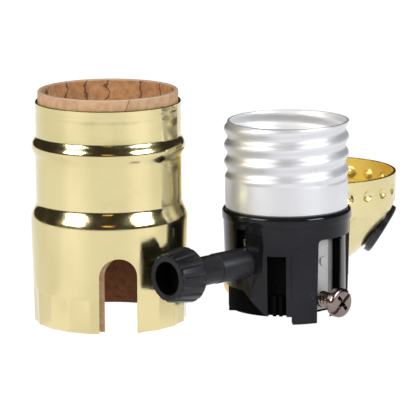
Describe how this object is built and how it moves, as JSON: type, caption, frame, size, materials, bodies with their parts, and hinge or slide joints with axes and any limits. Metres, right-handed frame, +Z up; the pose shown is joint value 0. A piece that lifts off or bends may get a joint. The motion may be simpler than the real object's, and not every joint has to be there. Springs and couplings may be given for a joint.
{
  "type": "lamp holder",
  "caption": "Turn-knob lamp holder shown taken apart: drawn brass-finish shell with card liner, black switch interior with aluminium screw shell, and cap with side cable outlet.",
  "frame": {"origin": "middle of the floor under the bounding box of the three groups, which stand on the floor as one loose set", "axes": "+Z up, along the parallel axes of the shell, the interior and the cap; -Y is the front, where the stem slot of the shell and one terminal show; +X runs from the shell to the interior"},
  "size_m": [0.0808, 0.0832, 0.0499],
  "materials": {
    "brass_finish": "bright polished, pale gold",
    "card": "plain kraft, cut edges",
    "hub_metal": "turned",
    "dark_steel": "oiled",
    "black_moulding": "glossy phenolic",
    "aluminium": "satin bright",
    "contact_brass": "rolled",
    "silver_plate": "nickel plated",
    "dark_nickel": "dark nickel",
    "brass_screw": "brass plated",
    "knob_plastic": "satin",
    "spring_steel": "tempered",
    "rotor_moulding": "moulded"
  },
  "bodies": {
    "root": {"outer_shell": "brass_finish", "shell_liner": "card", "cap_shell": "brass_finish", "cap_hub": "hub_metal", "hub_set_screw": "dark_steel", "side_outlet_bushing": "black_moulding", "switch_body": "black_moulding", "body_cover": "black_moulding", "screw_shell": "aluminium", "screw_shell_rivet_1": "aluminium", "screw_shell_rivet_2": "aluminium", "centre_contact": "contact_brass", "centre_contact_rivet": "contact_brass", "neutral_plate": "silver_plate", "neutral_plate_rivet": "silver_plate", "switched_plate": "contact_brass", "switched_plate_rivet": "contact_brass", "detent_spring": "spring_steel", "feed_blade": "contact_brass"},
    "knob_and_rotor": {"knob": "knob_plastic", "stem_clip": "spring_steel", "switch_rotor": "rotor_moulding", "rotor_contact": "contact_brass"},
    "neutral_terminal_screw": {"neutral_screw": "dark_nickel"},
    "switched_terminal_screw": {"switched_screw": "brass_screw"}
  },
  "joints": [
    {"name": "knob_turn", "type": "hinge", "parent": "root", "child": "knob_and_rotor", "pos_m": [0.01466, -0.01344, 0.0128], "axis": [-0.7218, -0.6921, 0], "continuous": true},
    {"name": "neutral_screw_in", "type": "slide", "parent": "root", "child": "neutral_terminal_screw", "axis": [-0.6921, 0.7218, 0], "range_m": [0, 0.0035]},
    {"name": "switched_screw_in", "type": "slide", "parent": "root", "child": "switched_terminal_screw", "axis": [0.6921, -0.7218, 0], "range_m": [0, 0.0035]}
  ]
}
